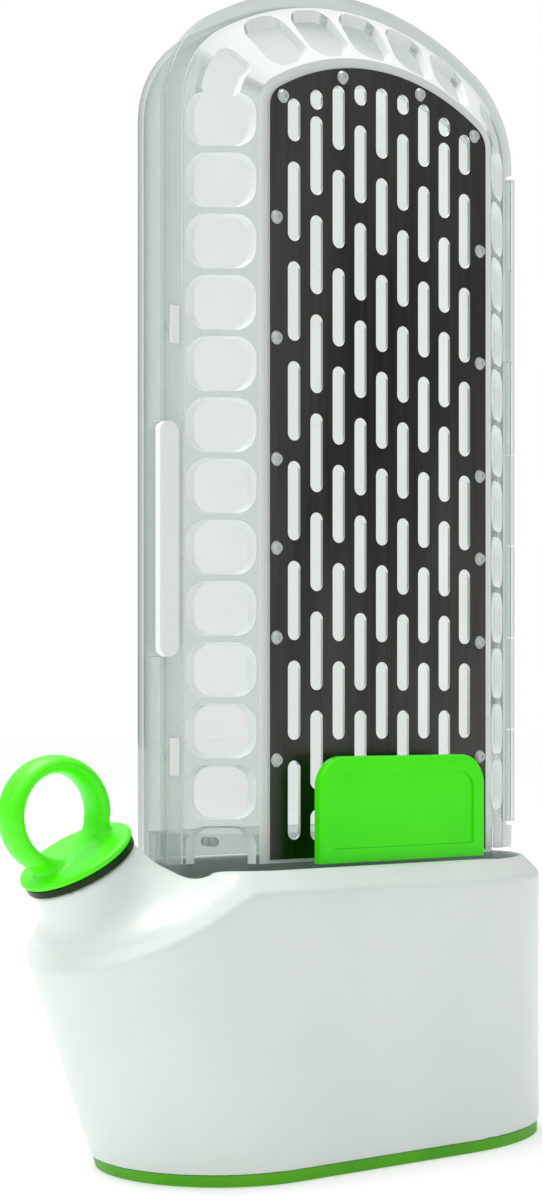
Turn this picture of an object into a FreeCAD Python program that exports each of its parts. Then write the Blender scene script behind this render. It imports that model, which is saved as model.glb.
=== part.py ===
import FreeCAD
import Part
import math
import os

# Herb keeper, millimetres. X runs along the keeper with the filler spout toward -X,
# -Y is the front with the slotted plate, +Z is up and Z = 0 is the table.

# How far a cutter stands past what it cuts, and the size under which a length is nothing
SPARE = 5.0
REACH = 120.0
TINY = 0.01

# Base
BASE_HALF_DEPTH = 31.0
NOSE_X = -41.1
NOSE_LEAN = 0.37
TAIL_X = 14.0
TAIL_REACH = 44.2
RIM_Z = 72.6
CREST_CUT = 4.7
SLOPE_X = -55.0
SLOPE_DROP = 0.5
BASE_WALL = 2.4
SOLE_H = 2.8
FLOOR_T = 2.2
FLOOR_CLEAR = 0.05
SOLE_INSET = 0.5

# Socket in the base that takes the pod
SOCKET_LEFT = 57.8
SOCKET_FRONT = 23.6
SOCKET_RIM = 5.6
SOCKET_R = 16.0
LEDGE_Z = 64.0
LEDGE_T = 2.4

# Filler spout and its cap
SPOUT_X = -82.6
SPOUT_Z = 75.3
SPOUT_TILT = 30.5
SPOUT_R = 13.3
SPOUT_WALL = 2.5
BORE_R = SPOUT_R - SPOUT_WALL
SPOUT_GAP = 1.9
BORE_LEN = 24.0
THROAT_SINK = 12.0
THROAT_DOWN = 4.0
BELL_SINK = 0.6
BELL_CORE_IN = 1.5
BELL_CORE_SINK = 7.0
THROAT_IN = 1.5
ROOT_X = -72.5
ROOT_SEMI_LONG = 19.6
ROOT_SEMI_WIDE = 26.0
# Share of the way down and share of the full flare at each section of the bell
BELL_SECTIONS = ((0.0, 0.0), (0.4, 0.1), (0.75, 0.38), (0.93, 0.72), (1.0, 1.0))
SEAL_R = 13.8
SEAL_T = 1.6
SEAL_CLEAR = 0.05
CAP_R = 14.4
CAP_T = 1.9
CAP_EDGE_R = 0.9
STEM_CLEAR = 0.25
STEM_LEN = 8.0
STEM_WALL = 1.8
RING_UP = 12.4
RING_R = 11.8
RING_T = 4.4
RING_BAND = 9.4

# Outline family of the pod: straight sides, a corner arc and a shallow top arch
PLATE_HALF = 35.7
PLATE_TOP = 270.5
PLATE_ARCH_R = 63.0
PLATE_CORNER_R = 6.0
PLATE_FOOT = 74.0
PLATE_T = 0.8

# Pod shells
DOOR_FOOT = 73.1
SHELL_T = 1.5
SLANT_T = 2.2
LEDGE_Y = -12.0
BORDER = 2.6
SILL_T = 2.0
CREST_OFF = 17.5
CREST_Y = -1.1
FLANGE_OFF = 21.5
FLANGE_T = 1.4
SEAM_Y = 1.2
OPENING_IN = 4.4
OPENING_FOOT = 78.0
REAR_HALF = 54.3
REAR_Y = 24.6
REAR_R = 12.0

# Windows along the slanted face of the front shell
WINDOW_PITCH = 14.75
WINDOW_TOP_Z = 252.7
WINDOW_COUNT = 13
WINDOW_W = 12.4
WINDOW_H = 12.1
WINDOW_R = 4.0
FLARE_W = 17.4
FLARE_H = 13.3
FLARE_R = 5.0
ARCH_WINDOWS = 5
CORNER_FROM = 38.0
CORNER_TO = 84.0
CORNER_IN = 6.6
CORNER_OUT = 14.2

# Slots of the plate
SLOT_PITCH_X = 7.05
SLOT_COLUMNS = 9
SLOT_W = 3.9
SLOT_LEN = 19.3
SLOT_PITCH_Z = 24.3
SLOT_FIRST_Z = 88.3
SLOT_MARGIN = 4.2
SLOT_LEAST = 4.8

# Rivets of the plate
RIVET_X = 33.6
RIVET_Z = (98.1, 127.8, 149.5, 171.0, 200.4, 229.6)
RIVET_CORNER = (31.6, 259.2)
RIVET_TOP = (12.8, 266.9)
RIVET_HEAD_R = 1.7
RIVET_HEAD_H = 0.8
RIVET_SHANK_R = 1.0
RIVET_CLEAR = 0.05
RIVET_DIMPLE_R = 0.6

# Pull tab
TAB_HALF = 27.0
TAB_TOP = 99.0
TAB_R = 7.5
TAB_T = 2.6
TAB_STANDOFF = 6.4
TAB_WEB_H = 3.4
TAB_WEB_IN = 7.0
TAB_PANEL_IN = 4.0
TAB_PANEL_DEEP = 0.5
SCREW_X = 18.0
SCREW_R = 1.1
SCREW_HEAD_R = 2.1
SCREW_HEAD_T = 0.6

# Hinge at the right seam
HINGE_X = 57.3
KNUCKLE_R = 1.7
PIN_R = 0.75
PIN_CLEAR = 0.06
HINGE_FROM = 80.0
HINGE_TO = 254.0
HINGE_PARTS = 7
HINGE_GAP = 0.35
LEAF_GAP = 0.35

# Finger lugs on the left seam and the catch pegs beside them
LUG_FROM = 123.0
LUG_TO = 179.5
LUG_OUT = 3.4
LUG_IN = 2.0
LUG_T = 3.4
CATCH_Z = (99.0, 203.0)
CATCH_R = 1.0
CATCH_LEN = 1.1
CATCH_CLEAR = 0.15
CATCH_PAD = 9.0
CATCH_PAD_W = 2.4
CATCH_PAD_T = 0.8
CATCH_IN = 1.9

# Foot cup of the pod
FOOT_IN = 2.7
FOOT_TAIL_IN = 7.6
FOOT_Z = 9.0
FOOT_TOP = 80.0
FOOT_T = 1.6
FOOT_FLOOR_T = 2.0
COLLAR_T = 2.0
COLLAR_OUT = 1.6
FOOT_CLEAR = 0.5
FOOT_HOLE_R = 2.5
FOOT_PIN_R = 1.2
FOOT_PIN_Z = 76.5
FOOT_PIN_X = 28.0

UP = FreeCAD.Vector(0, 0, 1)
BACK = FreeCAD.Vector(0, 1, 0)


def vec(x, y, z):
    return FreeCAD.Vector(x, y, z)


def save(name, shape):
    """Write one piece to its own file and print its size."""
    shape = shape.removeSplitter() if shape.ShapeType == "Solid" else shape
    shape.exportStep("parts/" + name + ".step")
    box = shape.BoundBox
    print(name, "solids", len(shape.Solids), "valid", shape.isValid(),
          "box %.1f %.1f %.1f" % (box.XLength, box.YLength, box.ZLength))


def one(shape):
    """The largest solid of a boolean result."""
    return max(shape.Solids, key=lambda solid: solid.Volume)


def prism(points, way, length):
    """A solid from a closed outline of corner points, pushed along a direction."""
    wire = Part.makePolygon(points + points[:1])
    return Part.Face(wire).extrude(way * length)


def plan_wire(z, inset):
    """Plan of the base at one height: leaning round nose, flat sides and an oval tail."""
    half = BASE_HALF_DEPTH - inset
    nose = NOSE_X - NOSE_LEAN * z
    long_axis = TAIL_REACH - inset
    diagonal = math.sqrt(0.5)
    front_left = vec(nose, -half, z)
    front_right = vec(TAIL_X, -half, z)
    back_left = vec(nose, half, z)
    back_right = vec(TAIL_X, half, z)
    tip_right = vec(TAIL_X + long_axis, 0, z)
    tip_left = vec(nose - half, 0, z)
    if long_axis > half:
        oval = Part.Ellipse(tip_right, back_right, vec(TAIL_X, 0, z))
    else:
        oval = Part.Circle(vec(TAIL_X, 0, z), UP, half)
    lower = Part.ArcOfEllipse(oval, -math.pi / 2, 0).toShape()
    upper = Part.ArcOfEllipse(oval, 0, math.pi / 2).toShape()
    left_back = vec(nose - half * diagonal, half * diagonal, z)
    left_front = vec(nose - half * diagonal, -half * diagonal, z)
    edges = [
        Part.LineSegment(front_left, front_right).toShape(),
        lower,
        upper,
        Part.LineSegment(back_right, back_left).toShape(),
        Part.Arc(back_left, left_back, tip_left).toShape(),
        Part.Arc(tip_left, left_front, front_left).toShape(),
    ]
    return Part.Wire(edges)


def plan_body(low, high, inset):
    """The base's plan carried from one height to another."""
    return Part.makeLoft([plan_wire(low, inset), plan_wire(high, inset)], True, True)


def side_cutter(low, high, slope_x, drop, reach):
    """Everything below the rim on the right and below the slope on the left."""
    far = slope_x - reach
    points = [
        vec(far, -reach, low),
        vec(reach, -reach, low),
        vec(reach, -reach, high),
        vec(slope_x, -reach, high),
        vec(far, -reach, high - drop * reach),
    ]
    return prism(points, BACK, 2 * reach)


def crest_edges(body):
    """Edges around the top of the base, without the short upright ones in its walls."""
    found = []
    for edge in body.Edges:
        box = edge.BoundBox
        upright = box.XLength < TINY and box.ZLength < TINY
        first, last = edge.Vertexes[0], edge.Vertexes[-1]
        standing = abs(first.X - last.X) < 0.5 and box.YLength < 0.5
        if box.ZMin > SOLE_H + 20 and not upright and not standing:
            found.append(edge)
    return found


def spout_axis():
    tilt = math.radians(SPOUT_TILT)
    return vec(-math.sin(tilt), 0, math.cos(tilt))


def along_spout(distance):
    """A point on the spout's axis; 0 is the underside of the cap's flange."""
    return vec(SPOUT_X, 0, SPOUT_Z) + spout_axis() * distance


def spout_bell(inset, sink, overrun):
    """Bell of the spout: from its round rim it flares, hollow-cheeked, onto the sloping top."""
    slope = math.atan(SLOPE_DROP)
    tilt = math.radians(SPOUT_TILT)
    top = along_spout(-SPOUT_GAP + overrun)
    root = vec(ROOT_X, 0, RIM_Z + SLOPE_DROP * (ROOT_X - SLOPE_X))
    root = root - vec(-math.sin(slope), 0, math.cos(slope)) * sink
    sections = []
    for share, flare in BELL_SECTIONS:
        lean = tilt + (slope - tilt) * share
        along = vec(math.cos(lean), 0, math.sin(lean))
        middle = top + (root - top) * share
        semi_long = SPOUT_R + (ROOT_SEMI_LONG - SPOUT_R) * flare - inset
        semi_wide = SPOUT_R + (ROOT_SEMI_WIDE - SPOUT_R) * flare - inset
        if share == 0:
            rim = Part.Circle(middle, spout_axis(), semi_long)
            rim.XAxis = BACK
            sections.append(Part.Wire(rim.toShape()))
        else:
            oval = Part.Ellipse(middle + BACK * semi_wide, middle + along * semi_long, middle)
            sections.append(Part.Wire(oval.toShape()))
    return Part.makeLoft(sections, True, False)


def socket_shape(low, high):
    """Well in the top of the base: square-ended on the left, oval on the right."""
    front = SOCKET_FRONT
    box = Part.makeBox(2 * SOCKET_LEFT, 2 * front, high - low, vec(-SOCKET_LEFT, -front, low))
    corners = [edge for edge in box.Edges
               if abs(edge.Vertexes[0].X + SOCKET_LEFT) < 0.01
               and abs(edge.Vertexes[1].X + SOCKET_LEFT) < 0.01
               and abs(edge.Vertexes[0].Y - edge.Vertexes[1].Y) < 0.01]
    box = box.makeFillet(SOCKET_R, corners)
    return one(box.common(plan_body(low, high, SOCKET_RIM)))


def pod_plan(z, inset):
    """Plan of the pod: flat front, two slanted faces and a round-cornered back."""
    tilt = math.atan2(CREST_Y - LEDGE_Y, CREST_OFF - BORDER)
    slide = inset * (1 - math.cos(tilt)) / math.sin(tilt)
    front_half = PLATE_HALF + BORDER - slide
    side = REAR_HALF - inset
    front_y = LEDGE_Y + inset
    side_y = front_y + (side - front_half) * math.tan(tilt)
    back_y = REAR_Y - inset
    bend = REAR_R - inset
    lean = bend * (1 - math.sqrt(0.5))
    right = vec(side, back_y - bend, z)
    back_right = vec(side - bend, back_y, z)
    back_left = vec(-side + bend, back_y, z)
    left = vec(-side, back_y - bend, z)
    edges = [
        Part.LineSegment(vec(-front_half, front_y, z), vec(front_half, front_y, z)).toShape(),
        Part.LineSegment(vec(front_half, front_y, z), vec(side, side_y, z)).toShape(),
        Part.LineSegment(vec(side, side_y, z), right).toShape(),
        Part.Arc(right, vec(side - lean, back_y - lean, z), back_right).toShape(),
        Part.LineSegment(back_right, back_left).toShape(),
        Part.Arc(back_left, vec(-side + lean, back_y - lean, z), left).toShape(),
        Part.LineSegment(left, vec(-side, side_y, z)).toShape(),
        Part.LineSegment(vec(-side, side_y, z), vec(-front_half, front_y, z)).toShape(),
    ]
    return Part.Wire(edges)


def pod_prism(inset, low, high):
    return Part.Face(pod_plan(low, inset)).extrude(UP * (high - low))


def arched_wire(offset, y, foot):
    """Outline of the plate moved outward by an offset, drawn in the plane at one depth."""
    half = PLATE_HALF + offset
    radius = PLATE_ARCH_R + offset
    corner = PLATE_CORNER_R + offset
    arch_z = PLATE_TOP - PLATE_ARCH_R
    corner_x = half - corner
    corner_z = arch_z + math.sqrt((radius - corner) ** 2 - corner_x ** 2)
    lean = math.atan2(corner_x, corner_z - arch_z)
    middle = (lean + math.pi / 2) / 2
    end_x = radius * math.sin(lean)
    end_z = arch_z + radius * math.cos(lean)
    mid_x = corner_x + corner * math.sin(middle)
    mid_z = corner_z + corner * math.cos(middle)
    edges = [
        Part.LineSegment(vec(-half, y, foot), vec(half, y, foot)).toShape(),
        Part.LineSegment(vec(half, y, foot), vec(half, y, corner_z)).toShape(),
        Part.Arc(vec(half, y, corner_z), vec(mid_x, y, mid_z), vec(end_x, y, end_z)).toShape(),
        Part.Arc(vec(end_x, y, end_z), vec(0, y, arch_z + radius), vec(-end_x, y, end_z)).toShape(),
        Part.Arc(vec(-end_x, y, end_z), vec(-mid_x, y, mid_z), vec(-half, y, corner_z)).toShape(),
        Part.LineSegment(vec(-half, y, corner_z), vec(-half, y, foot)).toShape(),
    ]
    return Part.Wire(edges)


def arched(offset, low_y, high_y, foot):
    """Arched plate of one outline between two depths."""
    return Part.Face(arched_wire(offset, low_y, foot)).extrude(BACK * (high_y - low_y))


def arched_loft(front_off, front_y, back_off, back_y, foot):
    wires = [arched_wire(front_off, front_y, foot), arched_wire(back_off, back_y, foot)]
    return Part.makeLoft(wires, True, True)


def rounded_wire(width, height, radius):
    """Rounded rectangle about the origin in the plane of X and Z."""
    x = width / 2
    z = height / 2
    lean = radius * (1 - math.sqrt(0.5))
    edges = []
    for sx, sz in ((1, 1), (-1, 1), (-1, -1), (1, -1)):
        side = vec(sx * x, 0, sz * (z - radius))
        top = vec(sx * (x - radius), 0, sz * z)
        middle = vec(sx * (x - lean), 0, sz * (z - lean))
        start, end = (side, top) if sx * sz > 0 else (top, side)
        if edges:
            edges.append(Part.LineSegment(edges[-1].Vertexes[-1].Point, start).toShape())
        edges.append(Part.Arc(start, middle, end).toShape())
    edges.append(Part.LineSegment(edges[-1].Vertexes[-1].Point, edges[0].Vertexes[0].Point).toShape())
    return Part.Wire(edges)


def slant():
    """Tilt of the slanted face about the upright, in degrees."""
    return math.degrees(math.atan2(CREST_Y - LEDGE_Y, CREST_OFF - BORDER))


def window_cutter():
    """Flared window about the origin, opening toward -Y."""
    proud = 0.3
    outer = rounded_wire(FLARE_W, FLARE_H, FLARE_R)
    outer.translate(vec(0, -proud, 0))
    inner = rounded_wire(WINDOW_W, WINDOW_H, WINDOW_R)
    inner.translate(vec(0, SLANT_T + proud, 0))
    return Part.makeLoft([outer, inner], True, True)


def window_cutters():
    """Windows up both sides, over the arch and at the two upper corners."""
    cutters = []
    middle_off = (BORDER + CREST_OFF) / 2
    middle_y = (LEDGE_Y + CREST_Y) / 2
    origin = vec(0, 0, 0)
    for row in range(WINDOW_COUNT):
        z = WINDOW_TOP_Z - row * WINDOW_PITCH
        for side in (1, -1):
            cutter = window_cutter()
            cutter.rotate(origin, UP, side * slant())
            cutter.translate(vec(side * (PLATE_HALF + middle_off), middle_y, z))
            cutters.append(cutter)
    arch_z = PLATE_TOP - PLATE_ARCH_R
    middle_r = PLATE_ARCH_R + middle_off
    step = math.degrees(WINDOW_PITCH / middle_r)
    for index in range(ARCH_WINDOWS):
        turn = (index - (ARCH_WINDOWS - 1) / 2) * step
        cutter = window_cutter()
        cutter.rotate(origin, UP, slant())
        cutter.rotate(origin, BACK, -90)
        cutter.translate(vec(0, middle_y, middle_r))
        cutter.rotate(origin, BACK, turn)
        cutter.translate(vec(0, 0, arch_z))
        cutters.append(cutter)
    for side in (1, -1):
        cutters.append(corner_cutter(side))
    return cutters


def corner_cutter(side):
    """Curved window in an upper corner, between the side row and the arch row."""
    corner_x = PLATE_HALF - PLATE_CORNER_R
    radius = PLATE_ARCH_R
    arch_z = PLATE_TOP - radius
    corner_z = arch_z + math.sqrt((radius - PLATE_CORNER_R) ** 2 - corner_x ** 2)
    inner = PLATE_CORNER_R + CORNER_IN
    outer = PLATE_CORNER_R + CORNER_OUT

    def at(reach, degrees):
        turn = math.radians(degrees)
        return vec(corner_x + reach * math.sin(turn), LEDGE_Y - 1, corner_z + reach * math.cos(turn))

    half_way = (CORNER_FROM + CORNER_TO) / 2
    edges = [
        Part.Arc(at(inner, CORNER_FROM), at(inner, half_way), at(inner, CORNER_TO)).toShape(),
        Part.LineSegment(at(inner, CORNER_TO), at(outer, CORNER_TO)).toShape(),
        Part.Arc(at(outer, CORNER_TO), at(outer, half_way), at(outer, CORNER_FROM)).toShape(),
        Part.LineSegment(at(outer, CORNER_FROM), at(inner, CORNER_FROM)).toShape(),
    ]
    block = Part.Face(Part.Wire(edges)).extrude(BACK * (CREST_Y - LEDGE_Y + 1.5))
    upright = [edge for edge in block.Edges
               if len(edge.Vertexes) == 2
               and abs(edge.Vertexes[0].Y - edge.Vertexes[1].Y) > 1]
    block = block.makeFillet(2.4, upright)
    if side < 0:
        block = block.mirror(vec(0, 0, 0), vec(1, 0, 0))
    return block


def cylinder(radius, height, point, way):
    return Part.makeCylinder(radius, height, point, way)


def hinge_spans(mine):
    """Heights of the knuckles: the rear shell has the even ones, the door the odd ones."""
    step = (HINGE_TO - HINGE_FROM) / HINGE_PARTS
    spans = []
    for index in range(HINGE_PARTS):
        if index % 2 == mine:
            low = HINGE_FROM + index * step + HINGE_GAP / 2
            spans.append((low, low + step - HINGE_GAP))
    return spans


def knuckles(mine, low_y, high_y):
    """Knuckles with the leaf that joins them to their own flange."""
    solids = []
    leaf_x = HINGE_X - KNUCKLE_R - LEAF_GAP
    for low, high in hinge_spans(mine):
        barrel = cylinder(KNUCKLE_R, high - low, vec(HINGE_X, SEAM_Y, low), UP)
        leaf = Part.makeBox(HINGE_X - leaf_x + 1, high_y - low_y, high - low,
                            vec(leaf_x - 1, low_y, low))
        leaf = leaf.cut(Part.makeBox(9, 9, high - low, vec(HINGE_X, SEAM_Y - 4.5, low)))
        solids.append(barrel.fuse(leaf))
    return solids


def lug(low_y, high_y):
    """Half of the finger lug: a pill-shaped widening of the flange on the left seam."""
    inner = -(PLATE_HALF + FLANGE_OFF) + LUG_IN
    outer = -(PLATE_HALF + FLANGE_OFF) - LUG_OUT
    wire = rounded_wire(inner - outer, LUG_TO - LUG_FROM, (inner - outer) / 2 - 0.1)
    wire.translate(vec((inner + outer) / 2, low_y, (LUG_FROM + LUG_TO) / 2))
    return Part.Face(wire).extrude(BACK * (high_y - low_y))


def catch_x():
    return -(PLATE_HALF + FLANGE_OFF) + CATCH_IN


def make_base():
    outer = plan_body(SOLE_H, RIM_Z + SPARE, 0)
    outer = one(outer.common(side_cutter(0, RIM_Z, SLOPE_X, SLOPE_DROP, REACH)))
    outer = outer.makeChamfer(CREST_CUT, crest_edges(outer))
    outer = one(outer.fuse([spout_bell(0, BELL_SINK, 0), spout_bell(BELL_CORE_IN, BELL_CORE_SINK, -BELL_CORE_SINK)]))

    under = LEDGE_Z - LEDGE_T
    inner = plan_body(SOLE_H - 1, RIM_Z, BASE_WALL)
    inner = one(inner.common(side_cutter(0, under, SLOPE_X, SLOPE_DROP, REACH)))
    bore = cylinder(BORE_R, BORE_LEN, along_spout(-SPOUT_GAP - BORE_LEN + 1), spout_axis())
    throat = spout_bell(SPOUT_WALL + THROAT_IN, THROAT_SINK, -THROAT_DOWN)
    shell = outer.cut(inner.fuse([bore, throat]))
    shell = shell.cut(socket_shape(under - SPARE, RIM_Z + SPARE))
    above = plan_body(under, RIM_Z + SPARE, -SPARE)
    above = one(above.fuse(cylinder(2 * CAP_R, 2 * CAP_R, vec(SPOUT_X - CAP_R, 0, under), UP)))
    save("base_deck", one(shell.common(above)))
    save("base_shell", one(shell.cut(above)))

    ledge = socket_shape(under, LEDGE_Z).cut(foot_prism(FOOT_CLEAR, under - 1, LEDGE_Z + 1))
    save("base_ledge", one(ledge))
    floor = plan_body(SOLE_H, SOLE_H + FLOOR_T, BASE_WALL + FLOOR_CLEAR)
    save("base_floor", one(floor))
    sole = plan_body(0, SOLE_H, SOLE_INSET)
    save("base_sole", one(sole))


def make_cap():
    axis = spout_axis()
    stem_r = BORE_R - STEM_CLEAR
    seal = cylinder(SEAL_R, SEAL_T, along_spout(-SEAL_T), axis)
    seal = seal.cut(cylinder(stem_r + SEAL_CLEAR, 3 * SEAL_T, along_spout(-2 * SEAL_T), axis))
    save("cap_seal", one(seal))
    flange = cylinder(CAP_R, CAP_T, along_spout(0), axis)
    flange = flange.makeFillet(CAP_EDGE_R, [edge for edge in flange.Edges
                                            if isinstance(edge.Curve, Part.Circle)])
    ring = Part.makeTorus(RING_R, RING_T / 2, along_spout(RING_UP), BACK)
    stretch = FreeCAD.Matrix()
    stretch.scale(1, RING_BAND / RING_T, 1)
    ring = ring.transformGeometry(stretch)
    ring = ring.cut(cylinder(2 * RING_R, RING_UP, along_spout(CAP_T / 2 - RING_UP), axis))
    save("fill_cap", one(flange.fuse([ring])))
    stem = cylinder(stem_r, STEM_LEN, along_spout(-STEM_LEN), axis)
    hollow = cylinder(stem_r - STEM_WALL, 3 * STEM_LEN, along_spout(-2 * STEM_LEN), axis)
    save("cap_stem", one(stem.cut(hollow)))


def make_rear_shell():
    flange = arched(FLANGE_OFF, SEAM_Y, SEAM_Y + FLANGE_T, DOOR_FOOT)
    wall_off = REAR_HALF - PLATE_HALF
    tray = arched(wall_off, SEAM_Y, REAR_Y, DOOR_FOOT)
    back_edges = [edge for edge in tray.Edges
                  if edge.BoundBox.YMin > REAR_Y - 0.01
                  and edge.BoundBox.ZMax > DOOR_FOOT + 1]
    tray = tray.makeFillet(REAR_R, back_edges)
    hollow = arched(wall_off - SHELL_T, SEAM_Y - 1, REAR_Y - SHELL_T, DOOR_FOOT - 5)
    hollow_edges = [edge for edge in hollow.Edges
                    if edge.BoundBox.YMin > REAR_Y - SHELL_T - 0.01
                    and edge.BoundBox.ZMax > DOOR_FOOT + 1]
    hollow = hollow.makeFillet(REAR_R - SHELL_T, hollow_edges)
    shell = flange.fuse(tray).cut(hollow)
    shell = shell.fuse(lug(SEAM_Y, SEAM_Y + LUG_T))
    leaf_x = HINGE_X - KNUCKLE_R - LEAF_GAP
    relief = Part.makeBox(20, 20, HINGE_TO - HINGE_FROM + 2, vec(leaf_x, SEAM_Y - 10, HINGE_FROM - 1))
    shell = one(shell).cut(relief)
    shell = shell.fuse(knuckles(0, SEAM_Y, SEAM_Y + FLANGE_T))
    for low, high in hinge_spans(0):
        shell = shell.cut(cylinder(PIN_R + PIN_CLEAR, high - low + 1, vec(HINGE_X, SEAM_Y, low - 0.5), UP))
    for z in CATCH_Z:
        shell = shell.cut(cylinder(CATCH_R + CATCH_CLEAR, 4, vec(catch_x(), SEAM_Y - 1, z), BACK))
    for side in (-1, 1):
        pin = cylinder(FOOT_PIN_R, 8, vec(side * FOOT_PIN_X, REAR_Y - 6, FOOT_PIN_Z), BACK)
        shell = shell.cut(pin)
    save("rear_shell", one(shell))


def make_front_shell():
    outer = arched_loft(BORDER, LEDGE_Y, CREST_OFF, CREST_Y, DOOR_FOOT)
    flange_y = SEAM_Y - FLANGE_T
    rim = arched(CREST_OFF, CREST_Y, SEAM_Y, DOOR_FOOT)
    flange = arched(FLANGE_OFF, flange_y, SEAM_Y, DOOR_FOOT)
    tilt = math.radians(slant())
    front_off = BORDER - SLANT_T / math.sin(tilt) + SHELL_T / math.tan(tilt)
    limit = CREST_OFF - SHELL_T
    back_y = LEDGE_Y + SHELL_T + (limit - front_off) * math.tan(tilt)
    hollow = arched_loft(front_off, LEDGE_Y + SHELL_T, limit, back_y, DOOR_FOOT - 5)
    mouth = arched(limit, back_y, SEAM_Y + 1, DOOR_FOOT - 5)
    shell = one(outer.fuse([rim, flange])).cut(hollow.fuse(mouth))
    opening = arched(-OPENING_IN, LEDGE_Y - 1, LEDGE_Y + SHELL_T + 1, OPENING_FOOT)
    shell = shell.cut(opening)
    shell = shell.cut(window_cutters())
    shell = shell.fuse(lug(SEAM_Y - LUG_T, SEAM_Y))
    sill_half = PLATE_HALF + BORDER - SILL_T
    sill = Part.makeBox(2 * sill_half, SILL_T, OPENING_FOOT - DOOR_FOOT, vec(-sill_half, LEDGE_Y, DOOR_FOOT))
    shell = one(shell.fuse(sill))
    leaf_x = HINGE_X - KNUCKLE_R - LEAF_GAP
    relief = Part.makeBox(20, 20, HINGE_TO - HINGE_FROM + 2, vec(leaf_x, SEAM_Y - 10, HINGE_FROM - 1))
    shell = shell.cut(relief)
    shell = shell.fuse(knuckles(1, SEAM_Y - FLANGE_T, SEAM_Y))
    for low, high in hinge_spans(1):
        shell = shell.cut(cylinder(PIN_R + PIN_CLEAR, high - low + 1, vec(HINGE_X, SEAM_Y, low - 0.5), UP))
    pegs = [cylinder(CATCH_R, CATCH_LEN + 0.5, vec(catch_x(), SEAM_Y - 0.5, z), BACK) for z in CATCH_Z]
    pad_y = SEAM_Y - FLANGE_T - CATCH_PAD_T + 0.1
    pads = [Part.makeBox(CATCH_PAD_W, CATCH_PAD_T, CATCH_PAD,
                         vec(catch_x() - CATCH_PAD_W / 2, pad_y, z - CATCH_PAD / 2))
            for z in CATCH_Z]
    shell = shell.fuse(pegs + pads)
    for x, z in rivet_places():
        shell = shell.cut(cylinder(RIVET_SHANK_R + RIVET_CLEAR, SHELL_T, vec(x, LEDGE_Y - 0.1, z), BACK))
    for x in (-SCREW_X, SCREW_X):
        shell = shell.cut(cylinder(SCREW_R + RIVET_CLEAR, 6, vec(x, LEDGE_Y - 1, screw_z()), BACK))
    save("front_shell", one(shell))


def rivet_places():
    places = []
    for side in (-1, 1):
        places += [(side * RIVET_X, z) for z in RIVET_Z]
        places.append((side * RIVET_CORNER[0], RIVET_CORNER[1]))
        places.append((side * RIVET_TOP[0], RIVET_TOP[1]))
    return places


def screw_z():
    return DOOR_FOOT + TAB_WEB_H / 2 + 0.3


def slot_spans(column):
    """Low and high ends of the slots of one column, cut short under the arch."""
    x = (column - (SLOT_COLUMNS - 1) / 2) * SLOT_PITCH_X
    arch_z = PLATE_TOP - PLATE_ARCH_R
    limit = arch_z + math.sqrt((PLATE_ARCH_R - SLOT_MARGIN) ** 2 - x ** 2)
    floor = PLATE_FOOT + SLOT_MARGIN
    middle = SLOT_FIRST_Z - (SLOT_PITCH_Z / 2 if column % 2 else 0)
    spans = []
    while middle - SLOT_LEN / 2 < limit - 1:
        low = max(middle - SLOT_LEN / 2, floor)
        high = min(middle + SLOT_LEN / 2, limit)
        low = min(low, high - SLOT_LEAST)
        if high > floor + SLOT_LEAST:
            spans.append((x, low, high))
        middle += SLOT_PITCH_Z
    return spans


def slot_cutter(x, low, high):
    wire = rounded_wire(SLOT_W, high - low, SLOT_W / 2 - 0.02)
    wire.translate(vec(x, LEDGE_Y - PLATE_T - 1, (low + high) / 2))
    return Part.Face(wire).extrude(BACK * (PLATE_T + 2))


def make_plate():
    front = LEDGE_Y - PLATE_T
    plate = arched(0, front, LEDGE_Y, PLATE_FOOT)
    cutters = []
    for column in range(SLOT_COLUMNS):
        cutters += [slot_cutter(*span) for span in slot_spans(column)]
    for x, z in rivet_places():
        cutters.append(cylinder(RIVET_SHANK_R + RIVET_CLEAR, PLATE_T + 1, vec(x, front - 0.5, z), BACK))
    for x in (-SCREW_X, SCREW_X):
        cutters.append(cylinder(SCREW_R + RIVET_CLEAR, PLATE_T + 1, vec(x, front - 0.5, screw_z()), BACK))
    save("front_plate", one(plate.cut(cutters)))

    rivets = []
    for x, z in rivet_places():
        head = Part.makeCone(RIVET_HEAD_R - 0.5, RIVET_HEAD_R, RIVET_HEAD_H,
                             vec(x, front - RIVET_HEAD_H, z), BACK)
        shank = cylinder(RIVET_SHANK_R, PLATE_T + SHELL_T - 0.2, vec(x, front, z), BACK)
        dimple = cylinder(RIVET_DIMPLE_R, 0.3, vec(x, front - RIVET_HEAD_H, z), BACK)
        rivets.append(one(head.fuse(shank).cut(dimple)))
    save("plate_rivets", Part.makeCompound(rivets))


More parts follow.
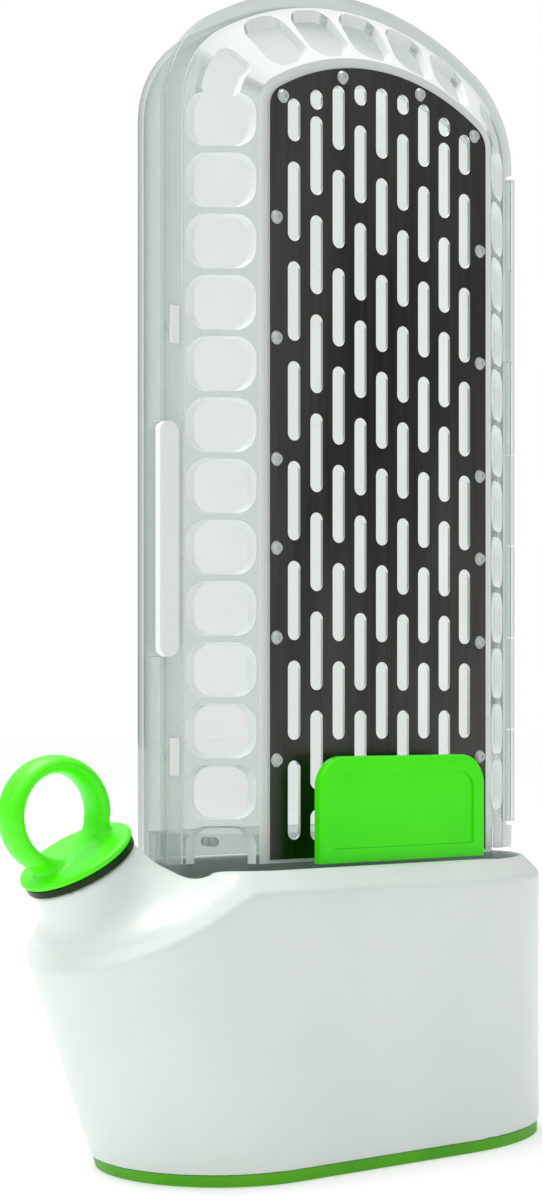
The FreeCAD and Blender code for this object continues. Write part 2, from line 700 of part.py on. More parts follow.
def make_tab():
    back = LEDGE_Y - PLATE_T
    face = back - TAB_STANDOFF
    height = TAB_TOP - DOOR_FOOT + TAB_R
    wire = rounded_wire(2 * TAB_HALF, height, TAB_R)
    wire.translate(vec(0, face - TAB_T, TAB_TOP - height / 2))
    tab = Part.Face(wire).extrude(BACK * TAB_T)
    tab = tab.common(Part.makeBox(200, 60, 60, vec(-100, -50, DOOR_FOOT)))
    panel = rounded_wire(2 * (TAB_HALF - TAB_PANEL_IN), height - 2 * TAB_PANEL_IN, TAB_R - 3)
    panel.translate(vec(0, face - TAB_T - 1, TAB_TOP - height / 2))
    floor = Part.makeBox(200, 60, 60, vec(-100, -50, DOOR_FOOT + TAB_WEB_H))
    tab = tab.cut(Part.Face(panel).extrude(BACK * (TAB_PANEL_DEEP + 1)).common(floor))
    rims = [edge for edge in tab.Edges if edge.BoundBox.YMax < face - TAB_T + 0.01
            and edge.BoundBox.ZMax > TAB_TOP - TAB_R - 1
            and edge.BoundBox.XLength + edge.BoundBox.ZLength > 2
            and (edge.BoundBox.ZMax > TAB_TOP - 0.01 or abs(edge.BoundBox.XMin) > TAB_HALF - 0.01
                 or abs(edge.BoundBox.XMax) > TAB_HALF - 0.01)]
    tab = tab.makeFillet(0.9, rims)
    web_half = TAB_HALF - TAB_WEB_IN
    web = Part.makeBox(2 * web_half, TAB_STANDOFF + 0.4, TAB_WEB_H, vec(-web_half, face - 0.4, DOOR_FOOT))
    tab = tab.fuse(web)
    for x in (-SCREW_X, SCREW_X):
        tab = tab.cut(cylinder(SCREW_R + RIVET_CLEAR, 6, vec(x, back - 4.5, screw_z()), BACK))
    save("pull_tab", one(tab))

    screws = []
    for x in (-SCREW_X, SCREW_X):
        sill_back = LEDGE_Y + SILL_T
        shank = cylinder(SCREW_R, sill_back - back + 4.0, vec(x, back - 4.0, screw_z()), BACK)
        head = cylinder(SCREW_HEAD_R, SCREW_HEAD_T, vec(x, sill_back, screw_z()), BACK)
        screws.append(one(shank.fuse(head)))
    save("tab_screws", Part.makeCompound(screws))


def make_hinge_pin():
    low = HINGE_FROM + HINGE_GAP / 2
    save("hinge_pin", cylinder(PIN_R, HINGE_TO - HINGE_GAP / 2 - low, vec(HINGE_X, SEAM_Y, low), UP))


def foot_prism(grow, low, high):
    """Plan of the foot cup, grown or shrunk, which also follows the oval tail of the base."""
    return one(pod_prism(FOOT_IN - grow, low, high).common(plan_body(low, high, FOOT_TAIL_IN - grow)))


def make_foot():
    cup = foot_prism(0, FOOT_Z, FOOT_TOP)
    collar = foot_prism(COLLAR_OUT, LEDGE_Z, LEDGE_Z + COLLAR_T)
    cup = cup.fuse(collar)
    cup = cup.cut(foot_prism(-FOOT_T, FOOT_Z + FOOT_FLOOR_T, FOOT_TOP + 1))
    holes = []
    for column in range(-4, 5):
        for row in (-1, 0, 1):
            holes.append(cylinder(FOOT_HOLE_R, 8, vec(column * 10, 6 + row * 9, FOOT_Z - 2), UP))
    cup = one(cup.cut(holes))
    pins = []
    for side in (-1, 1):
        start = vec(side * FOOT_PIN_X, REAR_Y - FOOT_IN - FOOT_T - 0.6, FOOT_PIN_Z)
        length = FOOT_IN + FOOT_T + 0.4
        cup = cup.cut(cylinder(FOOT_PIN_R, 8, start + vec(0, -1, 0), BACK))
        pins.append(cylinder(FOOT_PIN_R - 0.02, length, start, BACK))
    save("pod_foot", one(cup))
    save("foot_pins", Part.makeCompound(pins))


os.makedirs("parts", exist_ok=True)
make_base()
make_cap()
make_rear_shell()
make_front_shell()
make_plate()
make_tab()
make_hinge_pin()
make_foot()
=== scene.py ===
# %% [markdown]
# # A herb keeper
# The keeper is a clear upright pod with a slotted steel door, standing in a white base
# that holds water. The construction is loaded as a fixed frame; this lesson dresses it.
# It finishes every surface, and remodels two pieces whose smooth blends need a mesh:
# the soft cap and the casing of the base.

# %% Load the frame
import bpy
import bmesh
import math
from mathutils import Matrix, Vector


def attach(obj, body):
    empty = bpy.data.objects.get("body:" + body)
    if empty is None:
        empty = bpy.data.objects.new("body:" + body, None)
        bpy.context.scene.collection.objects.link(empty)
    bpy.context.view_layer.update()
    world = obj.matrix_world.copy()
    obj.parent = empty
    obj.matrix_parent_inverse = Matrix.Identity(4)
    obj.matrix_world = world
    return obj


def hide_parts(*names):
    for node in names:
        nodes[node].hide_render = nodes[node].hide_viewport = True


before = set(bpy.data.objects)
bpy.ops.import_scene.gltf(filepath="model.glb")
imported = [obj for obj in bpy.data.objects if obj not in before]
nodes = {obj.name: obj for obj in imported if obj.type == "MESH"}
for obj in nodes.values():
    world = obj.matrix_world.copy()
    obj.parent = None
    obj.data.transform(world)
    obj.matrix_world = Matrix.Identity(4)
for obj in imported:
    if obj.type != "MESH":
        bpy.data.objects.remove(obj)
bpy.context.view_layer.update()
scene = bpy.context.scene
print("nodes:", len(nodes))

# %% [markdown]
# ## Camera
# The photograph was taken with a long lens at the height of the keeper's middle, turned
# to the left of its front. The camera stays level, so upright edges stay parallel, and
# the horizon is placed with the shift, as a photographer does with a shift lens.

# %% Camera
PICTURE_H = 1200
FOCAL_PX = 2257.3
HORIZON_PX = 706.9
CAMERA_AT = Vector((-0.3710, -0.4424, 0.1110))
CAMERA_TURN = math.radians(-38.0)
SENSOR_MM = 36.0
NEAREST_SEEN = 0.01

camera_data = bpy.data.cameras.new("studio_camera")
camera_data.sensor_fit = "VERTICAL"
camera_data.sensor_height = SENSOR_MM
camera_data.lens = SENSOR_MM * FOCAL_PX / PICTURE_H
camera_data.shift_y = (HORIZON_PX - PICTURE_H / 2) / PICTURE_H
camera_data.clip_start = NEAREST_SEEN
camera = bpy.data.objects.new("studio_camera", camera_data)
camera.location = CAMERA_AT
camera.rotation_euler = (math.pi / 2, 0.0, CAMERA_TURN)
scene.collection.objects.link(camera)
scene.camera = camera
print("lens", round(camera_data.lens, 1), "mm, shift", round(camera_data.shift_y, 4))

# %% [markdown]
# ## Writing shader maths as Python
# A material is a graph of nodes. Wrapping each socket in a small class lets an
# expression such as `1 - mask` add its own Math nodes, so a finish reads as a formula.

# %% Socket class


class Sock:
    """A value that changes over a surface: one output socket with its operators."""

    def __init__(self, graph, socket):
        self.graph = graph
        self.socket = socket

    def maths(self, operation, *values):
        return self.graph.add("ShaderNodeMath", settings={"operation": operation},
                              sockets=dict(enumerate(values)))

    def __add__(self, other):
        return self.maths("ADD", self, other)

    def __radd__(self, other):
        return self.maths("ADD", other, self)

    def __sub__(self, other):
        return self.maths("SUBTRACT", self, other)

    def __rsub__(self, other):
        return self.maths("SUBTRACT", other, self)

    def __mul__(self, other):
        return self.maths("MULTIPLY", self, other)

    def __rmul__(self, other):
        return self.maths("MULTIPLY", other, self)

    def abs(self):
        return self.maths("ABSOLUTE", self)

    def at_most(self, other):
        return self.maths("MINIMUM", self, other)

    def power(self, other):
        return self.maths("POWER", self, other)

    def ramp(self, low, high, start=0.0, end=1.0):
        """A smooth step from start to end as the number goes from low to high."""
        return self.graph.add("ShaderNodeMapRange", "Result",
                              settings={"interpolation_type": "SMOOTHSTEP"}, Value=self,
                              From_Min=low, From_Max=high, To_Min=start, To_Max=end)


# %% [markdown]
# A graph belongs to a material or to the world, and one method adds any node to it. A
# Mix node holds a pair of sockets for each kind of value, so its colour pair is found
# by number. A finish is the graph of one material, with the helpers all of them use.

# %% Graphs and finishes
MIX_FACTOR = 0
MIX_FIRST_COLOUR = 6
MIX_SECOND_COLOUR = 7
MIX_COLOUR_OUT = 2


class Graph:
    """A node tree being filled, of a material or of the world."""

    def __init__(self, owner, output_kind):
        owner.use_nodes = True
        self.owner = owner
        self.tree = owner.node_tree
        self.tree.nodes.clear()
        self.output = self.tree.nodes.new(output_kind)

    def plug(self, value, target):
        """Link a wrapped socket, or set a plain value, on an input."""
        if isinstance(value, Sock):
            self.tree.links.new(value.socket, target)
        else:
            target.default_value = value

    def add(self, kind, out=0, settings=None, sockets=None, **named):
        """Add a node: its settings first, then its sockets, by number or by name."""
        node = self.tree.nodes.new(kind)
        for key, value in (settings or {}).items():
            setattr(node, key, value)
        for key, value in (sockets or {}).items():
            self.plug(value, node.inputs[key])
        for key, value in named.items():
            self.plug(value, node.inputs[key.replace("_", " ")])
        return Sock(self, node.outputs[out])

    def parts(self, vector):
        """The three parts of a vector, each as a wrapped number."""
        split = self.add("ShaderNodeSeparateXYZ", Vector=vector).socket.node
        return [Sock(self, output) for output in split.outputs]

    def done(self, surface):
        self.plug(surface, self.output.inputs["Surface"])
        return self.owner


class Finish(Graph):
    """One material being made, with the few helpers that every finish uses."""

    def __init__(self, name):
        super().__init__(bpy.data.materials.new(name), "ShaderNodeOutputMaterial")
        self.place = self.add("ShaderNodeTexCoord", "Object")

    def facing(self):
        """Which way the surface faces, in the piece's own axes."""
        return self.parts(self.add("ShaderNodeTexCoord", "Normal"))

    def noise(self, scale, detail=3.0, stretch=(1, 1, 1)):
        """Noise in metres: scale is in cells per metre, drawn out by stretch."""
        where = self.add("ShaderNodeMapping", Vector=self.place, Scale=stretch)
        return self.add("ShaderNodeTexNoise", "Fac", Vector=where, Scale=scale, Detail=detail)

    def mix(self, factor, first, second):
        """A colour between two others."""
        return self.add("ShaderNodeMix", MIX_COLOUR_OUT, settings={"data_type": "RGBA"},
                        sockets={MIX_FACTOR: factor, MIX_FIRST_COLOUR: first,
                                 MIX_SECOND_COLOUR: second})

    def bump(self, height, strength, distance):
        return self.add("ShaderNodeBump", "Normal", Height=height, Strength=strength,
                        Distance=distance)

    def shell(self, **inputs):
        return self.add("ShaderNodeBsdfPrincipled", "BSDF", **inputs)


def grey(value):
    return (value, value, value, 1.0)


print("shader helpers ready")

# %% [markdown]
# ## Opaque plastics
# The base is white moulded plastic with a soft gloss. Moulded plastic is never quite
# even: it has faint clouds of gloss and a very fine texture, both kept just visible.

# %% White and green plastics
PLASTIC_IOR = 1.49
FEW_OCTAVES = 2.0
CLOUD_SCALE = 26.0
CLOUD_FROM = 0.35
CLOUD_TO = 0.7
CLOUD_GLOSS = 0.06
GRAIN_SCALE = 1400.0
GRAIN_GLOSS = 0.04
GRAIN_STRENGTH = 0.25
GRAIN_DEPTH = 0.00003


def moulded(name, colour, deeper, roughness, shine):
    """Moulded plastic: slight clouds of colour and gloss over a fine moulded grain."""
    finish = Finish(name)
    clouds = finish.noise(CLOUD_SCALE, FEW_OCTAVES)
    grain = finish.noise(GRAIN_SCALE, FEW_OCTAVES)
    tint = finish.mix(clouds.ramp(CLOUD_FROM, CLOUD_TO), colour, deeper)
    gloss = clouds * CLOUD_GLOSS + (roughness - CLOUD_GLOSS / 2) + grain * GRAIN_GLOSS
    normal = finish.bump(grain, GRAIN_STRENGTH, GRAIN_DEPTH)
    surface = finish.shell(Base_Color=tint, Roughness=gloss, Normal=normal, IOR=PLASTIC_IOR,
                           Specular_IOR_Level=shine)
    return finish.done(surface)


white_plastic = moulded("white_moulded", colour=(0.68, 0.735, 0.695, 1),
                        deeper=(0.65, 0.71, 0.67, 1), roughness=0.34, shine=0.4)
sole_rubber = moulded("green_sole_rubber", colour=(0.09, 0.42, 0.006, 1),
                      deeper=(0.06, 0.33, 0.005, 1), roughness=0.45, shine=0.25)
lime_soft = moulded("lime_cap_soft", colour=(0.085, 0.88, 0.0, 1),
                    deeper=(0.06, 0.80, 0.0, 1), roughness=0.34, shine=0.35)
lime_gloss = moulded("lime_tab_gloss", colour=(0.06, 0.84, 0.0, 1),
                     deeper=(0.045, 0.77, 0.0, 1), roughness=0.26, shine=0.3)
print("plastics:", white_plastic.name, sole_rubber.name, lime_soft.name, lime_gloss.name)

# %% [markdown]
# The seal under the cap is nearly black rubber with a trace of green. A low specular
# level keeps it dark under the wide lamp, where a plain default would turn it grey.

# %% Seal rubber
SEAL_GRAIN = 900.0
SEAL_DARK = (0.006, 0.02, 0.004, 1)
SEAL_LIGHT = (0.012, 0.035, 0.008, 1)
SEAL_ROUGHNESS = 0.16
SEAL_UNEVEN = 0.08
SEAL_SHINE = 0.15


def seal_rubber():
    finish = Finish("seal_rubber")
    grain = finish.noise(SEAL_GRAIN, FEW_OCTAVES)
    tint = finish.mix(grain, SEAL_DARK, SEAL_LIGHT)
    surface = finish.shell(Base_Color=tint, Roughness=grain * SEAL_UNEVEN + SEAL_ROUGHNESS,
                           Specular_IOR_Level=SEAL_SHINE)
    return finish.done(surface)


seal_black = seal_rubber()
print("seal:", seal_black.name)

# %% [markdown]
# ## Steel
# Both steels are brushed. The marks come from noise that is drawn out upright, and a
# slower noise smears the gloss, as a wiped sheet shows. The two screws are bright.

# %% Screws
BRUSH_SCALE = 900.0
BRUSH_STRETCH = (1.0, 1.0, 0.035)
BRUSH_GLOSS = 0.1
SCREW_SMEAR_SCALE = 22.0
SCREW_SMEAR_STRETCH = (1.0, 1.0, 0.45)
SCREW_SMEAR_BAND = (0.3, 0.72)
SCREW_SMEAR_SHARE = 0.5
SCREW_SMEAR_GLOSS = 0.12
SCREW_BUMP = (0.3, 0.00004)
SCREW_ROUGHNESS = 0.22
SCREW_DARK = (0.45, 0.45, 0.44, 1)
SCREW_LIGHT = (0.62, 0.62, 0.6, 1)


def brush_marks(finish, smear_scale, smear_stretch):
    """Fine upright brush lines, and slow smears of gloss."""
    lines = finish.noise(BRUSH_SCALE, stretch=BRUSH_STRETCH)
    smear = finish.noise(smear_scale, stretch=smear_stretch)
    return lines, smear


def screw_steel():
    finish = Finish("screw_steel")
    lines, smear = brush_marks(finish, SCREW_SMEAR_SCALE, SCREW_SMEAR_STRETCH)
    smeared = smear.ramp(*SCREW_SMEAR_BAND) * SCREW_SMEAR_SHARE
    tone = lines * (1 - SCREW_SMEAR_SHARE) + smeared
    surface = finish.shell(
        Base_Color=finish.mix(tone, SCREW_DARK, SCREW_LIGHT), Metallic=1.0,
        Normal=finish.bump(lines, *SCREW_BUMP),
        Roughness=lines * BRUSH_GLOSS + smear * SCREW_SMEAR_GLOSS + SCREW_ROUGHNESS)
    return finish.done(surface)


bright_steel = screw_steel()
print("steel:", bright_steel.name)

# %% [markdown]
# The plate is thin stainless sheet. Its face is coloured dark grey, a painted reflection of
# a dim room, and the cut edges of its slots are coloured bright, a painted highlight. The
# edges are found from the way the surface faces: along the sheet, and not out of it.

# %% Plate
PLATE_SMEAR_SCALE = 18.0
PLATE_SMEAR_STRETCH = (1.2, 1.0, 0.4)
PLATE_SMEAR_BAND = (0.32, 0.7)
PLATE_SMEAR_SHARE = 0.6
PLATE_SMEAR_GLOSS = 0.14
PLATE_BUMP = (0.25, 0.00003)
PLATE_ROUGHNESS = 0.2
# Painted reflection: the face's colours are kept dark to stand in for the dim room the steel
# mirrors.
PLATE_PAINTED_REFLECTION_DARK = (0.036, 0.037, 0.032, 1)
PLATE_PAINTED_REFLECTION_LIGHT = (0.13, 0.13, 0.12, 1)
# Painted highlight: the bright colour given to the slots' cut edges.
CUT_EDGE_PAINTED_HIGHLIGHT = (0.75, 0.76, 0.72, 1)
FACE_FROM = 0.55
EDGE_FROM = 0.25


def plate_steel():
    """The face gets a painted dark reflection; each cut edge, facing along the sheet, a
    painted highlight.
    """
    finish = Finish("plate_steel")
    lines, smear = brush_marks(finish, PLATE_SMEAR_SCALE, PLATE_SMEAR_STRETCH)
    smeared = smear.ramp(*PLATE_SMEAR_BAND) * PLATE_SMEAR_SHARE
    tone = lines * (1 - PLATE_SMEAR_SHARE) + smeared
    # The face's colour is a painted dark reflection, streaked by the brush marks.
    face = finish.mix(tone, PLATE_PAINTED_REFLECTION_DARK, PLATE_PAINTED_REFLECTION_LIGHT)
    _, out_of_sheet, _ = finish.facing()
    # Surfaces that face along the sheet, the cut edges, take the painted highlight colour.
    edge = out_of_sheet.abs().ramp(FACE_FROM, EDGE_FROM)
    surface = finish.shell(
        Base_Color=finish.mix(edge, face, CUT_EDGE_PAINTED_HIGHLIGHT), Metallic=1.0,
        Normal=finish.bump(lines, *PLATE_BUMP),
        Roughness=lines * BRUSH_GLOSS + smear * PLATE_SMEAR_GLOSS + PLATE_ROUGHNESS)
    return finish.done(surface)


dark_plate = plate_steel()
print("steel:", dark_plate.name)

# %% [markdown]
# ## Clear plastic
# A thin clear wall is hardly seen face on and shows as a grey-green line edge on. A
# thin shell that mixes see-through with a polished surface, by how edge-on it is
# seen, gives that at once and needs no tracing through many walls. The dark edge-on
# colour is partly the plastic's own green and partly painted shade, standing in for the
# dark reflections that a clear wall shows edge on.

# %% Clear walls
RIM_POWER = 2.1
HAZE_SCALE = 60.0
HAZE = 0.05
POLISHED = 0.03
CLEAR_COAT = 0.4
SEEN_THROUGH = (0.95, 0.97, 0.96, 1)
FROST_TINT = (0.80, 0.84, 0.83, 1)
FROST_SOLID = 0.68
FROST_MOST = 0.95
FROST_ROUGH = 0.3


def clear_wall(name, body, edge_tint_and_shade, least, most, frost=None):
    """Thin clear wall: least is how solid it is face on, most how solid it is edge on."""
    finish = Finish(name)
    rim = finish.add("ShaderNodeLayerWeight", "Facing", Blend=0.5).power(RIM_POWER)
    haze = finish.noise(HAZE_SCALE)
    # Edge on, the colour turns to the edge colour: partly the plastic's own green, partly
    # painted shade.
    tint = finish.mix(rim, body, edge_tint_and_shade)
    solid = rim * (most - least) + haze * HAZE + (least - HAZE / 2)
    rough = haze * HAZE + POLISHED
    if frost is not None:
        veil = frost(finish)
        tint = finish.mix(veil, tint, FROST_TINT)
        solid = (solid + veil * FROST_SOLID).at_most(FROST_MOST)
        rough = rough + veil * FROST_ROUGH
    surface = finish.shell(Base_Color=tint, Roughness=rough, IOR=PLASTIC_IOR,
                           Coat_Weight=CLEAR_COAT, Coat_Roughness=POLISHED)
    through = finish.add("ShaderNodeBsdfTransparent", Color=SEEN_THROUGH)
    return finish.done(finish.add("ShaderNodeMixShader",
                                  sockets={0: solid, 1: through, 2: surface}))


# Painted shade: the dark edge colours of the shell, door, cup and stakes stand in for the
# dark reflections seen edge on, over the plastic's own green.
CLEAR_BODY = (0.50, 0.58, 0.55, 1)
CLEAR_EDGE_SHADE = (0.045, 0.075, 0.062, 1)
clear_shell = clear_wall("clear_shell", CLEAR_BODY, CLEAR_EDGE_SHADE, least=0.09, most=0.92)
clear_cup = clear_wall("clear_cup", (0.50, 0.58, 0.56, 1), (0.08, 0.12, 0.11, 1),
                       least=0.12, most=0.9)
clear_stake = clear_wall("clear_stake", (0.80, 0.86, 0.83, 1), (0.35, 0.4, 0.38, 1),
                         least=0.55, most=0.95)
print("clear finishes:", clear_shell.name, clear_cup.name, clear_stake.name)

# %% [markdown]
# The door's windows flare outwards, and their flared rims are frosted. The rims face
# up, down or sideways more than the slanted wall does, so the frost is found from the
# way the surface faces: anything that turns away from the wall's own slant is frosted,
# within the depth that the windows take up.

# %% Frosted door
WALL_SLANT = 0.594
SIDEWAYS_BAND = (0.08, 0.25)
UPWARD_BAND = (0.2, 0.45)
FRONT_OF_WINDOWS = (-0.0126, -0.0118)
BACK_OF_WINDOWS = (0.0002, -0.0006)


def window_frost(finish):
    """Frost where the surface faces neither along the slant nor straight forward."""
    across, _, up = finish.facing()
    _, depth, _ = finish.parts(finish.place)
    in_zone = depth.ramp(*FRONT_OF_WINDOWS) * depth.ramp(*BACK_OF_WINDOWS)
    off_slant = (across.abs() - WALL_SLANT).abs()
    steep = up.abs().ramp(*UPWARD_BAND) + off_slant.ramp(*SIDEWAYS_BAND)
    return (steep * in_zone).at_most(1.0)


clear_door = clear_wall("clear_door", CLEAR_BODY, CLEAR_EDGE_SHADE, least=0.17, most=0.92,
                        frost=window_frost)
print("clear finish:", clear_door.name)

# %% [markdown]
# ## Dressing the frame
# Each construction node keeps its own shape and gets its finish. Its mesh is loose
# triangles, so a Weld joins them and an Edge Split keeps the real corners crisp
# while round faces shade smoothly.

# %% Dress the nodes
FINISH_OF = {
    "base_shell": white_plastic,
    "base_deck": white_plastic,
    "base_ledge": white_plastic,
    "base_floor": white_plastic,
    "base_sole": sole_rubber,
    "fill_cap": lime_soft,
    "cap_stem": lime_soft,
    "cap_seal": seal_black,
    "rear_shell": clear_shell,
    "pod_foot": clear_cup,
    "foot_pins": clear_stake,
    "hinge_pin": clear_shell,
    "front_shell": clear_door,
    "front_plate": dark_plate,
    "plate_rivets": clear_stake,
    "pull_tab": lime_gloss,
    "tab_screws": bright_steel,
}
CREASE = math.radians(28)
WELD_WITHIN = 0.000005


def dress(node, material):
    obj = nodes[node]
    obj.data.materials.clear()
    obj.data.materials.append(material)
    for face in obj.data.polygons:
        face.use_smooth = True
    weld = obj.modifiers.new("weld", "WELD")
    weld.merge_threshold = WELD_WITHIN
    split = obj.modifiers.new("corners", "EDGE_SPLIT")
    split.split_angle = CREASE


for node_name, node_finish in FINISH_OF.items():
    dress(node_name, node_finish)
print("dressed", len(FINISH_OF), "nodes")

# %% [markdown]
# ## Shaping helpers
# Round forms are spun from a profile. Forms that flow into each other are joined by a
# voxel remesh, which lays one even skin over them, and are then relaxed where the
# real joint is rounded.

# %% Shaping helpers
SAME_POINT = 0.00001


def spun(bm, profile, steps):
    """Spin a profile of (radius, height) points about the upright axis."""
    chain = [bm.verts.new((radius, 0.0, height)) for radius, height in profile]
    edges = [bm.edges.new(pair) for pair in zip(chain, chain[1:])]
    bmesh.ops.spin(bm, geom=chain + edges, cent=(0, 0, 0), axis=(0, 0, 1),
                   angle=math.tau, steps=steps, use_merge=True)


def new_piece(name, bm, material):
    """Close a bmesh into an object at the origin."""
    bmesh.ops.remove_doubles(bm, verts=bm.verts, dist=SAME_POINT)
    bmesh.ops.recalc_face_normals(bm, faces=bm.faces)
    mesh = bpy.data.meshes.new(name)
    bm.to_mesh(mesh)
    bm.free()
    mesh.materials.append(material)
    obj = bpy.data.objects.new(name, mesh)
    scene.collection.objects.link(obj)
    for face in mesh.polygons:
        face.use_smooth = True
    return obj


def joined(obj, voxel):
    """A bmesh of the object's parts under one even skin of voxel-sized faces."""
    remesh = obj.modifiers.new("join", "REMESH")
    remesh.mode = "VOXEL"
    remesh.voxel_size = voxel
    shown = obj.evaluated_get(bpy.context.evaluated_depsgraph_get())
    skin = bpy.data.meshes.new_from_object(shown)
    obj.modifiers.remove(remesh)
    bm = bmesh.new()
    bm.from_mesh(skin)
    bpy.data.meshes.remove(skin)
    return bm


def relax(bm, verts, times):
    """Soften a patch of the surface, a little at each pass."""
    for _ in range(times):
        bmesh.ops.smooth_vert(bm, verts=verts, factor=0.5, use_axis_x=True,
                              use_axis_y=True, use_axis_z=True)


def store(bm, obj):
    """Put a reshaped bmesh back into its object, shaded smoothly."""
    for face in bm.faces:
        face.smooth = True
    bm.to_mesh(obj.data)
    bm.free()
    return obj


print("shaping helpers ready")

# %% [markdown]
# ## The cap
# The cap is soft plastic: its finger ring grows out of the flange in one smooth
# blend. A ring and a disc are spun, joined by a remesh and relaxed, which rounds the
# joint as a moulder's fillet does. The cap is made upright and then leans with the spout.

# %% Sizes of the cap
SPOUT_AT = Vector((-0.0826, 0.0, 0.0753))
SPOUT_TILT = math.radians(30.5)
SPOUT_PLACE = Matrix.Translation(SPOUT_AT) @ Matrix.Rotation(-SPOUT_TILT, 4, "Y")
RING_UP = 0.0124
RING_RADIUS = 0.0118
RING_THICK = 0.0044
RING_BAND = 0.0094
RING_FOOT = 0.0006
RING_SECTION_STEPS = 24
SPIN_STEPS = 96
FLANGE_PROFILE = ((0.0, 0.0), (0.0132, 0.0), (0.01395, 0.0002), (0.0143, 0.0007),
                  (0.01435, 0.0012), (0.0141, 0.0016), (0.0135, 0.0019),
                  (0.0110, 0.0022), (0.0070, 0.0025), (0.0, 0.0027))
CAP_VOXEL = 0.00042
BLEND_LOW = 0.0014
BLEND_HIGH = 0.0060
BLEND_REACH = 0.0130
BLEND_PASSES = 40
CAP_PASSES = 6
print("spout leans", round(math.degrees(SPOUT_TILT), 1), "degrees")

# %% [markdown]
# The ring's section is an oval, wider along the ring's axis than it is thick. The ring
# is spun flat, stood up, and cut off just inside the flange.

# %% Build the ring


def ring_section():
    """The oval section, as (radius, height) points, closed on its first point."""
    turns = [math.tau * index / RING_SECTION_STEPS for index in range(RING_SECTION_STEPS + 1)]
    return [(RING_RADIUS + RING_THICK / 2 * math.cos(turn), RING_BAND / 2 * math.sin(turn))
            for turn in turns]


def ring_mesh():
    """The finger ring, standing on the flange and cut off just inside it."""
    bm = bmesh.new()
    spun(bm, ring_section(), SPIN_STEPS)
    bmesh.ops.remove_doubles(bm, verts=bm.verts, dist=SAME_POINT)
    stand = Matrix.Translation((0, 0, RING_UP)) @ Matrix.Rotation(math.pi / 2, 4, "X")
    bmesh.ops.transform(bm, verts=bm.verts, matrix=stand)
    cut = bmesh.ops.bisect_plane(bm, geom=bm.verts[:] + bm.edges[:] + bm.faces[:],
                                 plane_co=(0, 0, RING_FOOT), plane_no=(0, 0, 1),
                                 clear_inner=True)
    edges = [item for item in cut["geom_cut"] if isinstance(item, bmesh.types.BMEdge)]
    bmesh.ops.holes_fill(bm, edges=edges)
    mesh = bpy.data.meshes.new("ring_part")
    bm.to_mesh(mesh)
    bm.free()
    return mesh


def in_blend(vert):
    """Whether a point is where the ring grows out of the flange."""
    return (BLEND_LOW < vert.co.z < BLEND_HIGH
            and math.hypot(vert.co.x, vert.co.y) < BLEND_REACH)


def build_cap():
    bm = bmesh.new()
    spun(bm, FLANGE_PROFILE, SPIN_STEPS)
    bm.from_mesh(ring_mesh())
    cap = new_piece("cap_ring", bm, lime_soft)
    bm = joined(cap, CAP_VOXEL)
    relax(bm, [vert for vert in bm.verts if in_blend(vert)], BLEND_PASSES)
    relax(bm, bm.verts[:], CAP_PASSES)
    bmesh.ops.transform(bm, verts=bm.verts, matrix=SPOUT_PLACE)
    return store(bm, cap)


cap_ring = build_cap()
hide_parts("fill_cap")
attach(cap_ring, "cap")

# %% [markdown]
# ## The base
# The base's casing is one moulding: its spout flows into the sloping top without an
# edge, while the crease along the front stays. The casing and its top are joined by a
# remesh. The whole is relaxed a little, and the foot of the spout much more.

# %% Build the casing
CASING_VOXEL = 0.00075
SLOPE_X = -0.055
SLOPE_DROP = 0.5
RIM_Z = 0.0726
SOFT_LEFT_OF = -0.056
SOFT_BELOW = 0.0022
SOFT_ABOVE = 0.0070
FOOT_PASSES = 45
CASING_PASSES = 3


def over_slope(point):
    """Height of a point over the sloping top."""
    return point.z - (RIM_Z + SLOPE_DROP * (point.x - SLOPE_X))


def in_spout_foot(vert):
    """Whether a point is where the spout grows out of the sloping top."""
    return vert.co.x < SOFT_LEFT_OF and -SOFT_BELOW < over_slope(vert.co) < SOFT_ABOVE


def build_casing():
    bm = bmesh.new()
    for node in ("base_shell", "base_deck"):
        bm.from_mesh(nodes[node].data)
    casing = new_piece("base_casing", bm, white_plastic)
    bm = joined(casing, CASING_VOXEL)
    relax(bm, [vert for vert in bm.verts if in_spout_foot(vert)], FOOT_PASSES)
    relax(bm, bm.verts[:], CASING_PASSES)
    return store(bm, casing)


casing = build_casing()
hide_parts("base_shell", "base_deck")
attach(casing, "base")
print("casing faces", len(casing.data.polygons))

# %% [markdown]
# ## Floor, sky and lamps
# The keeper stands on a pale floor that runs out of sight. It glows a little, so that
# it runs into the white behind it.

# %% Floor
FLOOR_HALF = 6.0
FLOOR_BELOW = 0.0002
FLOOR_CELLS = 8
FLOOR_GLOW = 0.45
FLOOR_CLOUDS = 30.0


def floor_finish():
    """A matt pale floor with a faint glow of its own."""
    finish = Finish("studio_floor")
    speck = finish.noise(FLOOR_CLOUDS, FEW_OCTAVES)
    tint = finish.mix(speck, grey(0.55), grey(0.58))
    matt = finish.add("ShaderNodeBsdfDiffuse", Color=tint)
    glow = finish.add("ShaderNodeEmission", Color=grey(1.0), Strength=FLOOR_GLOW)
    return finish.done(finish.add("ShaderNodeAddShader", sockets={0: matt, 1: glow}))


def build_floor():
    bm = bmesh.new()
    bmesh.ops.create_grid(bm, x_segments=FLOOR_CELLS, y_segments=FLOOR_CELLS, size=FLOOR_HALF)
    bmesh.ops.translate(bm, verts=bm.verts, vec=(0, 0, -FLOOR_BELOW))
    return new_piece("studio_floor", bm, floor_finish())


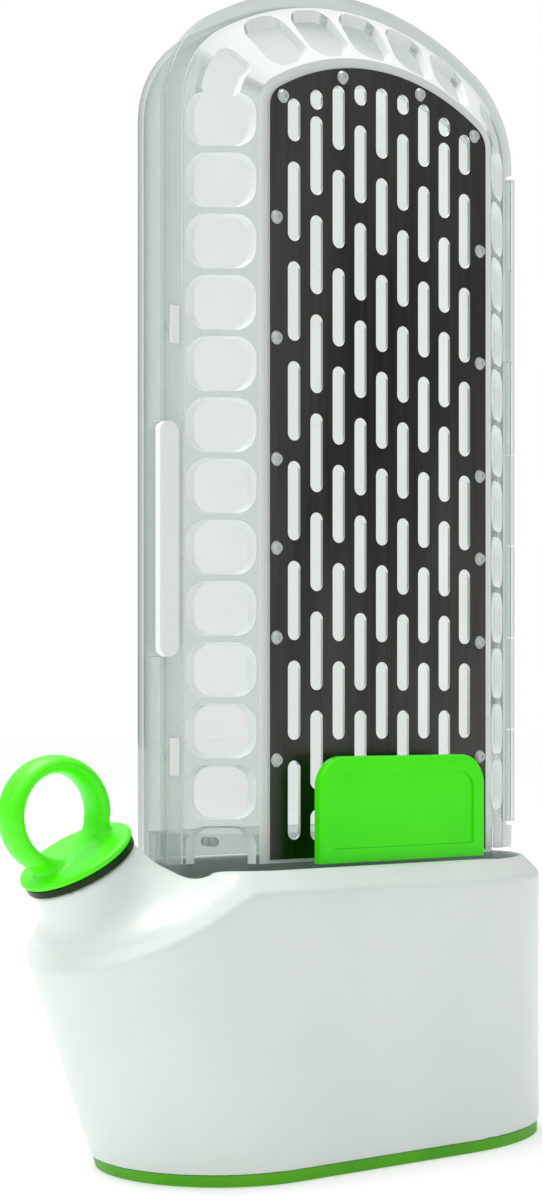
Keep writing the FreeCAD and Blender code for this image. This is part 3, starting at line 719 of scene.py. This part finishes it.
studio_floor = build_floor()
print("floor half width", FLOOR_HALF)

# %% [markdown]
# The room is brighter overhead than at the horizon. A dim flat at the right front is
# what the steel mirrors. The camera itself sees plain white behind the keeper.

# %% Sky
HORIZON_LIGHT = 0.36
SKY_LIGHT = 1.35
SKY_BAND = (-0.05, 0.75)
FLAT_DIM = 0.3
FLAT_TOWARD_X = 0.616
FLAT_TOWARD_Y = -0.788
FLAT_BAND = (0.6, 0.97)


def build_world():
    """A room lit from above, with a dim flat at the right front for the steel to mirror."""
    room = Graph(bpy.data.worlds.new("studio_world"), "ShaderNodeOutputWorld")
    across, depth, up = room.parts(room.add("ShaderNodeTexCoord", "Generated"))
    flat = (across * FLAT_TOWARD_X + depth * FLAT_TOWARD_Y).ramp(*FLAT_BAND)
    light = up.ramp(*SKY_BAND, HORIZON_LIGHT, SKY_LIGHT) * (1 - flat * FLAT_DIM)
    walls = room.add("ShaderNodeBackground", Strength=light)
    backdrop = room.add("ShaderNodeBackground", Color=grey(1.0))
    seen_directly = room.add("ShaderNodeLightPath", "Is Camera Ray")
    return room.done(room.add("ShaderNodeMixShader",
                              sockets={0: seen_directly, 1: walls, 2: backdrop}))


scene.world = build_world()
print("world:", scene.world.name)

# %% [markdown]
# One wide lamp above makes the tops brighter than the sides, and one at the left gives
# the plastic its long soft highlight.

# %% Lamps


def lamp(name, place, target, size, power):
    """A rectangular lamp that points at a target."""
    light = bpy.data.lights.new(name, "AREA")
    light.shape = "RECTANGLE"
    light.size, light.size_y = size
    light.energy = power
    obj = bpy.data.objects.new(name, light)
    obj.location = place
    aim = Vector(target) - Vector(place)
    obj.rotation_euler = aim.to_track_quat("-Z", "Y").to_euler()
    scene.collection.objects.link(obj)


lamp("top_lamp", place=(-0.15, 0.30, 1.1), target=(0, 0, 0.1), size=(0.8, 0.6), power=11.0)
lamp("left_lamp", place=(-0.9, 0.35, 0.75), target=(0, 0, 0.12), size=(0.25, 0.7), power=1.2)
scene.view_settings.view_transform = "Standard"
print("studio ready")
